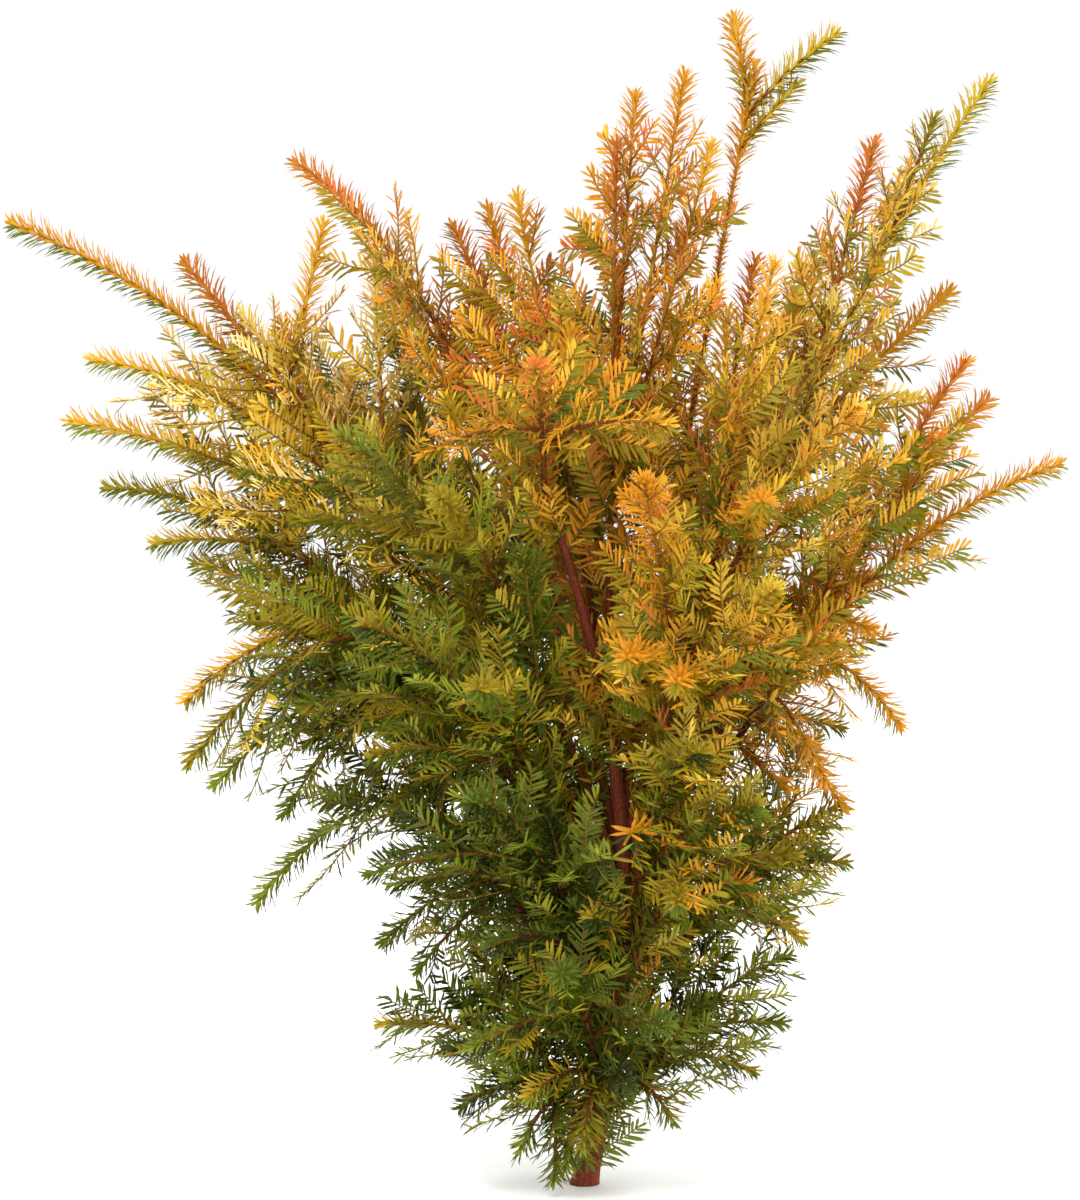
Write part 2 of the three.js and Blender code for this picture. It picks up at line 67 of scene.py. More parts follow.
# How finely curves are measured, when one counts as straight, the least length that is divided
# by, what lets a level direction count as upwards, and how many of a shoot's first points need no
# room
CURVE_SAMPLES = 201
HALVINGS = 30
STRAIGHT = 1e-3
TINY = 1e-9
LEVEL = 1e-6
JOINT_SAMPLES = 2

# Directions and turns: in degrees, but for the last, a random start in radians
UP = np.array([0.0, 0.0, 1.0])
TOWARDS_VIEWER = 270
GOLDEN_TURN = 137.5
FULL_TURN = 6.3

# Where the trunk shows in the front of the crown: middle across and up, half width, half height
WINDOWS = [(27, 288, 15, 44), (-4, 464, 16, 42)]

# Each mass: its name, its tint, the height where its bough leaves the trunk, the share of the
# course that is bare, its fan in degrees and its leaders. A mass with bare 0 sits on the trunk. A
# leader is azimuth, reach and height of its tip, free length at its end, bend, and the share of
# the main leader where it starts.
MASSES = [
    ("far_left", "gold", 212, 0.36, 0, [
        (183, 434, 743, 240, 0.3, 0), (176, 308, 713, 110, 0.05, 0.3), (186, 262, 675, 40, 0.1, 0.25),
        (184, 199, 743, 90, 0.02, 0.38), (181, 161, 720, 70, 0.03, 0.12),
        (181, 232, 668, 30, 0.05, 0.15)]),
    ("left_gold", "gold", 172, 0.36, 0, [
        (187, 374, 640, 100, 0.42, 0), (175, 398, 591, 120, 0.16, 0.08)]),
    ("left_low", "olive", 134, 0.36, 0, [
        (183, 364, 543, 110, 0.42, 0), (191, 330, 503, 90, 0.34, 0.15), (171, 306, 480, 60, 0.1, 0.12),
        (188, 250, 440, 30, 0.2, 0.1)]),
    ("left_drop", "green", 112, 0.34, 0, [
        (201, 318, 390, 110, 0.82, 0), (208, 330, 349, 60, 0.5, 0.2), (194, 288, 322, 30, 0.35, 0.15),
        (196, 190, 318, 20, 0.12, 0.06), (192, 150, 296, 20, 0.15, 0.03),
        (199, 240, 300, 20, 0.3, 0.22), (190, 215, 348, 20, 0.3, 0.1), (193, 262, 356, 30, 0.4, 0.15)]),
    ("low_left", "green", 54, 0.3, 0, [
        (180, 253, 221, 90, 1, 0), (172, 158, 186, 30, 0.3, 0.02), (176, 200, 300, 30, 0.2, 0.2),
        (194, 112, 225, 20, 0.1, 0.04), (188, 150, 262, 20, 0.2, 0.1), (190, 130, 172, 20, 0.15, 0.02),
        (182, 122, 236, 20, 0.15, 0.06)]),
    ("foot_left", "green", 34, 0, 0, [
        (203, 103, 68, 20, 0.6, 0), (240, 48, 9, 20, 0.5, 0.3), (196, 112, 112, 20, 0.3, 0.3),
        (188, 158, 130, 20, 0.3, 0.3), (212, 100, 165, 20, 0.2, 0.2), (222, 78, 92, 20, 0.3, 0.2),
        (222, 66, 38, 20, 0.5, 0.25), (206, 92, 190, 20, 0.1, 0.2)]),
    ("foot_right", "green", 42, 0, 0, [
        (344, 134, 96, 30, 0.5, 0), (322, 84, 62, 20, 0.4, 0.25), (350, 154, 132, 30, 0.3, 0.3),
        (355, 158, 182, 20, 0.2, 0.2), (4, 110, 205, 20, 0.1, 0.12), (338, 100, 150, 20, 0.2, 0.25)]),
    ("low_right", "olive", 66, 0.34, 0, [
        (3, 202, 250, 50, 0.5, 0), (352, 197, 300, 30, 0.2, 0.15), (14, 165, 200, 30, 0.2, 0.25),
        (346, 130, 240, 20, 0.2, 0.08), (2, 180, 348, 20, 0.1, 0.2), (352, 168, 196, 20, 0.5, 0.06),
        (338, 150, 288, 20, 0.15, 0.04), (352, 185, 262, 20, 0.3, 0.1)]),
    ("right_drop", "amber", 150, 0.34, 0, [
        (340, 250, 369, 50, 1, 0), (330, 205, 330, 40, 0.45, 0.2), (350, 200, 300, 30, 0.3, 0.1),
        (334, 168, 318, 20, 0.06, 0.05), (341, 226, 440, 30, 0.5, 0.15)]),
    ("right_edge", "amber", 122, 0.36, 0, [
        (8, 265, 512, 130, 0.5, 0), (0, 222, 474, 110, 0.25, 0.12), (18, 210, 440, 30, 0.25, 0.16)]),
    ("right_long", "amber", 182, 0.36, 0, [
        (357, 360, 560, 150, 0.32, 0), (8, 315, 607, 80, 0.15, 0.2), (350, 290, 640, 70, 0.1, 0.12)]),
    ("tall_right", "olive", 224, 0.42, 0, [
        (3, 308, 850, 150, 0.2, 0), (12, 290, 690, 90, 0.04, 0.1), (354, 219, 803, 60, 0.02, 0.2),
        (355, 264, 822, 30, 0.05, 0.6), (352, 160, 690, 40, 0.05, 0.05)]),
    ("top_tuft", "olive", 292, 0.4, 0, [
        (350, 130, 862, 300, 0.03, 0), (2, 113, 897, 70, 0.05, 0.92), (350, 191, 885, 70, 0.1, 0.9),
        (352, 160, 848, 70, 0, 0.84)]),
    ("plume", "russet", 374, 0.3, 0, [
        (295, 54, 803, 50, 0.05, 0), (318, 98, 853, 60, 0, 0.1), (315, 52, 838, 30, 0, 0.3),
        (325, 95, 745, 30, 0, 0.08), (322, 118, 800, 40, 0, 0.12)]),
    ("red_cluster", "russet", 336, 0.36, 0, [
        (202, 56, 763, 50, 0.1, 0), (182, 100, 740, 50, 0.05, 0.05), (168, 76, 754, 50, 0, 0.1)]),
    ("arch_left", "amber", 262, 0.4, 0, [
        (176, 222, 790, 120, 0.38, 0), (160, 165, 705, 40, 0.1, 0.1), (192, 140, 660, 40, 0.1, 0.05)]),
    ("front_left_up", "olive", 238, 0.24, 20, [
        (224, 250, 590, 40, 0.3, 0)]),
    ("front_left", "green", 152, 0.22, 20, [
        (232, 262, 455, 20, 0.36, 0), (246, 190, 408, 20, 0.1, 0.14), (254, 172, 505, 20, 0.05, 0.1),
        (226, 225, 356, 20, 0.3, 0.15)]),
    ("front_left_low", "green", 92, 0.2, 33, [
        (246, 205, 325, 20, 0.4, 0), (214, 175, 250, 20, 0.3, 0.2), (236, 130, 205, 20, 0.3, 0.05),
        (258, 130, 300, 20, 0.1, 0.1), (266, 112, 236, 20, 0.1, 0.05)]),
    ("front_foot", "green", 60, 0, 34, [
        (262, 140, 190, 20, 0.4, 0), (240, 84, 84, 20, 0.3, 0.12), (268, 66, 44, 20, 0.5, 0.08),
        (290, 88, 96, 20, 0.3, 0.12), (254, 56, 24, 20, 0.6, 0.06)]),
    ("front_right_low", "amber", 116, 0.22, 20, [
        (312, 185, 312, 20, 0.4, 0), (325, 150, 250, 20, 0.2, 0.1)]),
    ("front_middle", "amber", 158, 0, 16, [
        (294, 200, 360, 20, 0.4, 0), (272, 140, 232, 20, 0.2, 0.08)]),
    ("front_right", "amber", 204, 0.24, 18, [
        (304, 240, 480, 20, 0.34, 0), (281, 205, 560, 20, 0.1, 0.3), (292, 130, 600, 20, 0.05, 0.34),
        (277, 222, 432, 20, 0.4, 0.2)]),
    ("front_right_up", "amber", 270, 0.26, 18, [
        (318, 262, 610, 20, 0.3, 0), (316, 190, 714, 60, 0.05, 0.08), (336, 139, 716, 50, 0.05, 0.1)]),
    ("front_tip", "amber", TRUNK_HEIGHT, 0, 26, [
        (260, 215, 640, 20, 0.2, 0)]),
    ("back_left_up", "olive", 192, 0.34, 18, [
        (146, 290, 640, 80, 0.3, 0)]),
    ("back_left", "green", 78, 0.34, 20, [
        (150, 270, 430, 80, 0.4, 0), (136, 225, 340, 30, 0.3, 0.1)]),
    ("back_top", "amber", 312, 0.34, 24, [
        (92, 235, 655, 80, 0.24, 0)]),
    ("back_middle", "green", 162, 0.34, 20, [
        (96, 275, 500, 80, 0.34, 0)]),
    ("back_right_up", "amber", 246, 0.34, 18, [
        (44, 275, 650, 80, 0.3, 0)]),
    ("back_right", "olive", 100, 0.34, 20, [
        (46, 240, 410, 60, 0.4, 0), (62, 205, 345, 30, 0.3, 0.1)]),
    ("back_foot", "green", 48, 0, 34, [
        (92, 165, 215, 20, 0.45, 0), (97, 190, 310, 30, 0.3, 0.1), (132, 155, 262, 20, 0.3, 0.15),
        (56, 155, 270, 20, 0.3, 0.15)]),
]

# The share of their length that needles keep along two main leaders, and how long a mass's twigs
# are; where that is over 1 they are closer together too
THIN = {"top_tuft": 0.4, "tall_right": 0.7}
TWIG_SHARE = {
    "top_tuft": 0.35, "tall_right": 0.75, "arch_left": 0.85, "left_drop": 1.3, "low_left": 1.2,
    "foot_left": 1.3, "low_right": 1.25, "foot_right": 1.1, "back_middle": 0.9, "back_top": 0.9,
    "back_right_up": 0.9, "back_left_up": 0.9,
}

# A fan's leaders: turn towards the fan's angle, share of the reach, drop of the tip, bend, start
FAN = [(1, 0.97, 42, 0.2, 0.28), (-1, 0.95, 66, 0.2, 0.4), (0.2, 0.62, -25, 0.05, 0.2)]

# What is added here, in millimetres and degrees: finer twigs, and needles on every shoot. A free
# end is the outer part of a leader that stays a clean brush of needles. A pair is a range that is
# drawn from, and turns, rolls, tilts and spreads are drawn to both sides. The steps between twigs
# vary by TWIG_STEP.
TWIG = {
    "spacing": 11, "first": 0.8, "past_free": 0.9, "angle": 50, "spread": 10, "turns": 25, "rolls": 30,
    "longest": 72, "shortest": 18, "share": 0.55, "extra": 14, "grown": (0.7, 1.1), "foot": 6,
}
TWIG_ROOM = {"own": 6.5, "limb": 2.5}
TWIG_STEP = (0.8, 1.2)
SPUR = {"start": 24, "spacing": 7, "angle": 66, "spread": 12, "rolls": 30, "long": (26, 62)}
VEIL = {"spacing": 6, "angle": 44, "tilt": 10, "long": (28, 50), "spread": 50}

# The upright line that sprays face away from, and how much they face outwards and upwards
FACING = {"heart": (0, -60), "outwards": 0.8, "upwards": 0.5}

# A needle's blade: its width, keel and hanging tip, and its two rings, each by its place along it,
# its share of the width and its lift
BLADE = {"width": 2.5, "thick": 0.45, "droop": 0.03, "rings": ((0.05, 0.7, 0), (0.7, 0.95, 0.02))}

# Its seven points are the two rings of left, keel and right, and the tip
BLADE_POINTS = 7
BLADE_UPPER = [[0, 3, 4], [0, 4, 1], [1, 4, 5], [1, 5, 2], [3, 6, 4], [4, 6, 5]]
BLADE_UNDER = [[0, 1, 2], [2, 5, 3], [2, 3, 0], [5, 6, 3]]

# How needles stand along a shoot. They lean more to the tip over tip_reach, are shorter within
# rim of both ends, keep clear of a twig's foot and of the ground, and may be thin up to a share
# of the shoot. Those of a flat shoot stand in two ranks, turned from its side by these degrees.
# Needles that hang more than low, and those in a share of the shoot drawn from shaded, have the
# spray's inner tint.
NEEDLES = {
    "fewest": 8, "slip": (0.1, 0.9), "lean": 6, "tip_reach": 9, "ranks": (90, 270),
    "rank_spread": 22, "faces": 0.16, "rim": 12, "rim_shares": (0.55, 0.45), "grown": (0.84, 1.12),
    "thin_until": 0.78, "bare": 3, "ground": 3, "low": -0.3, "shaded": (0.1, 0.4),
}
BRUSH = {
    "leader": {"long": 19, "spacing": 0.64, "inner": 2.2, "lean": 56, "tip_lean": 36},
    "side": {"long": 18, "spacing": 1.45, "inner": 1, "lean": 57, "tip_lean": 30},
    "twig": {"long": 17, "spacing": 1.85, "inner": 1, "lean": 58, "tip_lean": 30},
}

# A shoot's stalk: its radius at both ends, its sides, the step of its rings and the share that is
# brown. It ends in a bud.
STALK = {
    "leader": {"radius": (2.3, 0.8), "sides": 6, "step": 11, "brown": 0.45},
    "side": {"radius": (1.5, 0.7), "sides": 4, "step": 15, "brown": 0},
    "twig": {"radius": (1.0, 0.5), "sides": 3, "step": 15, "brown": 0},
}
STALK_RINGS = 4
BUD = {"long": 2.2, "wide": 1.35, "point": 0.12}

# Bark: the mesh and relief of a limb, and the ridges, each by how many go round, their pitch
# along the limb and their share of the relief
BARK = {
    "trunk": {"sides": 26, "step": 2.6, "relief": 0.3},
    "bough": {"sides": 12, "step": 4.5, "relief": 0.16},
}
BARK_RINGS = 12
RIDGES = ((3, 70, 0.9), (5, 38, 0.7), (7, 19, 0.6), (11, 9, 0.45))
RIDGE_BREAKS = 2.1
COLLAR = {"share": 0.35, "long": 9}

# The stretches of the trunk that bear short twigs of a mass, by length from the ground: some all
# round, and some as a veil in front
TRUNK_SPURS = {"front_foot": (14, 150), "front_middle": (150, 330), "front_tip": (330, 545)}
TRUNK_VEILS = {
    "front_foot": (16, 240), "front_middle": (340, 395), "front_tip": (395, 450),
    "front_right": (540, 595),
}

# The height over which the stem's rings turn from level to square across it
FOOT_LEVEL = 24

# The camera's picture: the object's foot in it, its scale, and where the camera stands
PHOTO = {"wide": 1080, "high": 1200, "mm_per_pixel": 0.768, "foot_x": 585, "foot_y": 1193}
CAMERA = {"distance": 3.1, "elevation": 5, "sensor": 36}

# The stretches of the trunk, by height, that nothing hides from the camera, how far foliage keeps
# from them, and how finely the trunk and a twig are read for it
SEEN_TRUNK = [(256, 332), (430, 500)]
SEEN_CLEAR = 7
SEEN_SAMPLES = {"trunk": 121, "twig": 9}


# Seeded numbers, the same as in the part's source


def random_from(seed):
    """A function that gives the next number from 0 to 1."""
    state = seed & 0xFFFFFFFF

    def draw():
        nonlocal state
        state = (state + 0x6D2B79F5) & 0xFFFFFFFF
        t = state
        t = ((t ^ (t >> 15)) * (t | 1)) & 0xFFFFFFFF
        t ^= (t + (((t ^ (t >> 7)) * (t | 61)) & 0xFFFFFFFF)) & 0xFFFFFFFF
        return ((t ^ (t >> 14)) & 0xFFFFFFFF) / 4294967296

    return draw


# Curves


def unit(v):
    return v / np.maximum(np.linalg.norm(v, axis=-1, keepdims=True), TINY)


def polar(azimuth, reach, height):
    a = math.radians(azimuth)
    return np.array([reach * math.cos(a), reach * math.sin(a), height])


def bezier(curve, u):
    """Points of the curve of some control points, at an array of parameters."""
    points = [np.broadcast_to(p, (len(u), 3)) for p in curve]
    w = u[:, None]
    while len(points) > 1:
        points = [a * (1 - w) + b * w for a, b in zip(points, points[1:])]
    return points[0]


def heading(curve, u):
    """Unit directions along a curve."""
    return unit(bezier(np.diff(curve, axis=0), u))


def arc_length(curve):
    points = bezier(curve, np.linspace(0, 1, CURVE_SAMPLES))
    return float(np.linalg.norm(np.diff(points, axis=0), axis=1).sum())


def at_lengths(curve, shares):
    """Curve parameters at shares of its length."""
    u = np.linspace(0, 1, CURVE_SAMPLES)
    steps = np.linalg.norm(np.diff(bezier(curve, u), axis=0), axis=1)
    run = np.concatenate([[0], np.cumsum(steps)])
    return np.interp(shares, run / run[-1], u)


def arc(start, tip, bend):
    """A curve that rises over the straight line by a share of its length."""
    control = start + (tip - start) * CONTROL_ALONG + UP * bend * np.linalg.norm(tip - start)
    return np.array([start, control, tip])


def stretch(curve, a, b):
    """The part of a curve between two of its parameters."""

    def blossom(s, t):
        return (curve[0] * (1 - s) + curve[1] * s) * (1 - t) + (curve[1] * (1 - s) + curve[2] * s) * t

    return np.array([blossom(a, a), blossom(a, b), blossom(b, b)])


def side_of(curve):
    """The normal of the plane that a curve bends in."""
    ends = heading(curve, np.array([0.0, 1.0]))
    side = np.cross(ends[0], ends[1])
    if np.linalg.norm(side) < STRAIGHT:
        side = np.cross(heading(curve, np.array([0.5]))[0], UP)
    if np.linalg.norm(side) < STRAIGHT:
        side = np.array([0.0, 1.0, 0.0])
    return unit(side)


def cross_axes(curve, u, side):
    """Directions along, across and over a curve at an array of parameters."""
    along = heading(curve, u)
    across = unit(side - along * (along @ side)[:, None])
    return along, across, np.cross(along, across)


def turned_out(curve, u, side, roll, hand=1):
    """The direction out of a curve that is turned by roll from its side, in degrees."""
    _, across, over = cross_axes(curve, np.array([u]), side)
    roll = math.radians(roll)
    return across[0] * hand * math.cos(roll) + over[0] * math.sin(roll)


# Growth


class Axes:
    """Points of every limb and shoot so far, that new shoots keep away from."""

    def __init__(self):
        self.points = np.zeros((0, 3))
        self.radius = np.zeros(0)
        self.owner = np.zeros(0, int)

    def add(self, curve, owner, radius_at=None, joint=None):
        u = sample_shares(curve)
        points = bezier(curve, u)
        radius = radius_at(u) if radius_at else np.zeros(len(u))
        if joint is not None:
            keep = np.linalg.norm(points - joint, axis=1) > ROOM["joint"]
            points, radius = points[keep], radius[keep]
        self.points = np.vstack([self.points, points])
        self.radius = np.concatenate([self.radius, radius])
        self.owner = np.concatenate([self.owner, np.full(len(points), owner)])

    def room(self, curve, owner, own, other, limb, foot):
        """Whether a new shoot's points all have room, but for the first ones."""
        u = sample_shares(curve)
        step = np.arange(JOINT_SAMPLES, len(u))
        p = bezier(curve, u[JOINT_SAMPLES:])
        if (p[:, 2] < foot).any():
            return False
        away = np.linalg.norm(p[:, None] - self.points[None], axis=2)
        least = np.where(self.owner == owner, np.minimum(own, step * ROOM["step"])[:, None], other)
        least = np.where(self.owner == LIMB, self.radius + limb, least)
        return bool((away >= least).all())


def sample_shares(curve):
    return np.linspace(0, 1, max(3, math.ceil(arc_length(curve) / SAMPLE_STEP)) + 1)


def trunk_radius(u):
    r = TRUNK_RADIUS
    flare = r["flare"] * np.exp(-u * TRUNK_HEIGHT / r["flare_height"])
    return r["foot"] + (r["tip"] - r["foot"]) * u + flare


def in_window(p):
    inside = np.zeros(len(p), bool)
    for x, z, half_width, half_height in WINDOWS:
        inside |= (abs(p[:, 0] - x) < half_width) & (abs(p[:, 2] - z) < half_height)
    return inside & (p[:, 1] < 0)


def trunk_point(height):
    """The point of the trunk's middle line at a height."""
    low, high = 0.0, 1.0
    for _ in range(HALVINGS):
        middle = (low + high) / 2
        if bezier(TRUNK_LEAN, np.array([middle]))[0, 2] < height:
            low = middle
        else:
            high = middle
    return bezier(TRUNK_LEAN, np.array([(low + high) / 2]))[0]


def branch(parent, u, out, angle, reach):
    """A shoot that leaves its parent at an angle and bends back towards the way it grows."""
    u = np.array([u])
    root, along = bezier(parent, u)[0], heading(parent, u)[0]
    way = along * math.cos(angle) + out * math.sin(angle)
    control = root + way * reach * FORK_SHAPE["straight"]
    tip = control + way * reach * FORK_SHAPE["outwards"] + along * reach * FORK_SHAPE["along"]
    return np.array([root, control, tip])


def side_shoots(leader, owner, seed, axes):
    """The source's side shoots of one leader."""
    random = random_from(seed)
    curve, length = leader["curve"], leader["length"]
    spacing = SIDE_SHOOT["spacing"]
    grown = []
    at, hand = spacing / 2, 1
    while at < length - leader["free"]:
        slip, turn, grow, tilt = random(), random(), random(), random()
        u = (at + (slip - 0.5) * FORK["slip"] * spacing) / length
        out = turned_out(curve, u, leader["side"], (tilt - 0.5) * FORK["roll"], hand)
        angle = math.radians(SIDE_SHOOT["angle"] + (turn - 0.5) * FORK["spread"])
        reach = min(SIDE_SHOOT["longest"], SIDE_SHOOT["share"] * (length - u * length))
        reach *= FORK["least"] + FORK["more"] * grow
        for share in FORK["tries"]:
            if reach * share < SIDE_SHOOT["shortest"]:
                break
            side = branch(curve, u, out, angle, reach * share)
            shown = not in_window(bezier(side, sample_shares(side)[JOINT_SAMPLES:])).any()
            if shown and axes.room(side, owner, ROOM["own"], ROOM["other"], ROOM["limb"], ROOM["foot"]):
                grown.append(make_shoot(side, "side", SIDE_SHOOT["free"]))
                axes.add(side, owner)
                break
        at += spacing
        hand = -hand
    return grown


def outward(p):
    """A direction out of the crown and up, that a spray on a round shoot turns its face to."""
    away = unit(p - np.array([*FACING["heart"], p[2]]))
    return unit(away * FACING["outwards"] + UP * FACING["upwards"])


def twig_with_room(curve, u, out, angle, reach, owner, axes, side=None):
    """The longest of a few tries that has room, in a list, or an empty list."""
    own = TWIG_ROOM["own"]
    for share in FORK["tries"]:
        if reach * share < TWIG["shortest"]:
            break
        twig = branch(curve, u, out, angle, reach * share)
        drawn = bezier(twig, np.linspace(0, 1, SEEN_SAMPLES["twig"]))
        if hides_trunk(drawn).any():
            continue
        if axes.room(twig, owner, own, own, TWIG_ROOM["limb"], TWIG["foot"]):
            axes.add(twig, owner)
            shoot = make_shoot(twig, "twig", 0)
            shoot["side"] = outward(twig[2]) if side is None else side
            return [shoot]
    return []


def twigs(parent, owner, random, axes, scale):
    """Finer twigs along a shoot but its free end: all round a leader, and beside a flat shoot."""
    curve, length = parent["curve"], parent["length"]
    round_shoot = parent["kind"] == "leader"
    side = None if round_shoot else parent["side"]
    grown = []
    at, turn, hand = TWIG["spacing"] * TWIG["first"], random.uniform(0, 360), 90
    while at < length - parent["free"] * TWIG["past_free"]:
        u = at / length
        turn += GOLDEN_TURN
        hand = -hand
        spread = TWIG["turns"] if round_shoot else TWIG["rolls"]
        roll = (turn if round_shoot else hand) + random.uniform(-spread, spread)
        out = turned_out(curve, u, parent["side"], roll)
        angle = math.radians(TWIG["angle"] + random.uniform(-TWIG["spread"], TWIG["spread"]))
        reach = min(TWIG["longest"], TWIG["share"] * (length - at) + TWIG["extra"])
        reach = reach * random.uniform(*TWIG["grown"]) * scale
        grown.extend(twig_with_room(curve, u, out, angle, reach, owner, axes, side))
        at += TWIG["spacing"] / max(scale, 1) * random.uniform(*TWIG_STEP)
    return grown


def spurs(limb, start, end, owner, random, axes):
    """Short twigs all round the bare stretch of a limb."""
    length = arc_length(limb)
    grown = []
    at, turn = start, random.uniform(0, 360)
    while at < min(length, end):
        turn += GOLDEN_TURN
        u = at / length
        roll = turn + random.uniform(-SPUR["rolls"], SPUR["rolls"])
        out = turned_out(limb, u, side_of(limb), roll)
        angle = math.radians(SPUR["angle"] + random.uniform(-SPUR["spread"], SPUR["spread"]))
        reach = random.uniform(*SPUR["long"])
        grown.extend(twig_with_room(limb, u, out, angle, reach, owner, axes))
        at += SPUR["spacing"] * random.uniform(*TWIG_STEP)
    return grown


def veil(limb, start, end, owner, random, axes):
    """Short twigs of a limb that stand out towards the viewer."""
    length = arc_length(limb)
    grown = []
    for at in np.arange(start, min(end, length), VEIL["spacing"]):
        u = at / length
        along = heading(limb, np.array([u]))[0]
        out = polar(TOWARDS_VIEWER + random.uniform(-1, 1) * VEIL["spread"], 1, 0)
        out = unit(out - along * (out @ along))
        angle = math.radians(VEIL["angle"] + random.uniform(-VEIL["tilt"], VEIL["tilt"]))
        reach = random.uniform(*VEIL["long"])
        grown.extend(twig_with_room(limb, u, out, angle, reach, owner, axes))
    return grown


def make_shoot(curve, kind, free, thin=1):
    return {"curve": curve, "kind": kind, "free": free, "thin": thin,
            "side": side_of(curve), "length": arc_length(curve)}


def make_leaders(mass):
    """The course of a mass's bough and its leaders."""
    name, _, rises, bare, fan, leaders = mass
    azimuth, reach, height, free, bend, _ = leaders[0]
    if fan:
        leaders = leaders + [
            (azimuth + turn * fan, reach * share, height - drop, free, rise, start)
            for turn, share, drop, rise, start in FAN
        ]
    course = arc(trunk_point(rises), polar(azimuth, reach, height), bend)
    begin = bare + GAP / arc_length(course) if bare else 0
    main = stretch(course, begin, 1)
    shoots = [make_shoot(main, "leader", free, THIN.get(name, 1))]
    for az, out, up, clean, rise, start in leaders[1:]:
        curve = arc(bezier(main, np.array([start]))[0], polar(az, out, up), rise)
        shoots.append(make_shoot(curve, "leader", clean))
    return course, shoots


def make_bough(mass, course):
    curve = stretch(course, 0, mass[3])
    base = BOUGH_RADIUS["base"] + BOUGH_RADIUS["per_length"] * arc_length(course)
    return {"name": "bough_" + mass[0], "curve": curve, "base": base}


def bough_radius(bough, u):
    return bough["base"] * (1 + (BOUGH_RADIUS["tip_share"] - 1) * u)


def grow_twigs(boughs, masses, axes):
    """Adds the finer twigs to every mass: the veils, then the masses in front, then the rest."""
    random = np.random.default_rng(SEED_OF["twigs"])
    names = [mass[0] for mass in MASSES]
    for name, stretch_of in TRUNK_VEILS.items():
        index = names.index(name)
        masses[index].extend(veil(TRUNK_LEAN, *stretch_of, index, random, axes))
    for index in sorted(range(len(masses)), key=lambda i: not names[i].startswith("front")):
        name, shoots = names[index], masses[index]
        for parent in [s for s in shoots if s["kind"] != "twig"]:
            shoots.extend(twigs(parent, index, random, axes, TWIG_SHARE.get(name, 1)))
        if boughs[index]:
            bough = boughs[index]["curve"]
            shoots.extend(spurs(bough, SPUR["start"], math.inf, index, random, axes))
        if name in TRUNK_SPURS:
            shoots.extend(spurs(TRUNK_LEAN, *TRUNK_SPURS[name], index, random, axes))


def grow_yew():
    """Every limb, and every mass's shoots, leaders first, in the source's order."""
    axes = Axes()
    axes.add(TRUNK_LEAN, LIMB, trunk_radius)
    boughs, masses = [], []
    for index, mass in enumerate(MASSES):
        course, shoots = make_leaders(mass)
        bough = make_bough(mass, course) if mass[3] else None
        if bough:
            axes.add(bough["curve"], LIMB, lambda u, b=bough: bough_radius(b, u), bough["curve"][2])
        for shoot in shoots:
            axes.add(shoot["curve"], index)
        boughs.append(bough)
        masses.append(shoots)
    for index, shoots in enumerate(masses):
        for k, leader in enumerate(list(shoots)):
            seed = SEED + SEED_STEP["mass"] * index + SEED_STEP["leader"] * k
            shoots.extend(side_shoots(leader, index, seed, axes))
    grow_twigs(boughs, masses, axes)
    return [b for b in boughs if b], masses


# What the camera sees


def camera_place():
    """The camera's target and place, in millimetres."""
    target = np.array([
        (PHOTO["wide"] / 2 - PHOTO["foot_x"]) * PHOTO["mm_per_pixel"], 0,
        (PHOTO["foot_y"] - PHOTO["high"] / 2) * PHOTO["mm_per_pixel"]])
    e = math.radians(CAMERA["elevation"])
    return target, target + np.array([0, -math.cos(e), math.sin(e)]) * CAMERA["distance"] / MM


def on_picture(p):
    """Points as the camera sees them, on the upright plane through the foot."""
    _, eye = camera_place()
    return eye + (p - eye) * (eye[1] / (eye[1] - p[:, 1:2]))


def hides_trunk(points):
    """Which points stand between the camera and a seen stretch of the trunk."""
    seen = on_picture(points)
    trunk = bezier(TRUNK_LEAN, np.linspace(0, 1, SEEN_SAMPLES["trunk"]))
    drawn = on_picture(trunk)
    x = np.interp(seen[:, 2], drawn[:, 2], drawn[:, 0])
    y = np.interp(seen[:, 2], drawn[:, 2], trunk[:, 1])
    hides = np.zeros(len(points), bool)
    for stretch_seen in SEEN_TRUNK:
        low, high = np.interp(stretch_seen, trunk[:, 2], drawn[:, 2])
        hides |= (seen[:, 2] > low) & (seen[:, 2] < high)
    return hides & (abs(seen[:, 0] - x) < SEEN_CLEAR) & (points[:, 1] < y)


# Meshes


def mesh_object(name, points, faces, materials, slots=None, smooth=True):
    """One object from arrays of points in millimetres and triangles."""
    mesh = bpy.data.meshes.new(name)
    mesh.vertices.add(len(points))
    mesh.vertices.foreach_set("co", (points * MM).astype(np.float32).ravel())
    mesh.loops.add(faces.size)
    mesh.loops.foreach_set("vertex_index", faces.astype(np.int32).ravel())
    mesh.polygons.add(len(faces))
    mesh.polygons.foreach_set("loop_start", np.arange(0, faces.size, 3, dtype=np.int32))
    for material in materials:
        mesh.materials.append(material)
    if slots is not None:
        mesh.polygons.foreach_set("material_index", slots.astype(np.int32))
    mesh.polygons.foreach_set("use_smooth", np.full(len(faces), smooth))
    mesh.update(calc_edges=True)
    mesh.validate()
    obj = bpy.data.objects.new(name, mesh)
    bpy.context.scene.collection.objects.link(obj)
    return obj


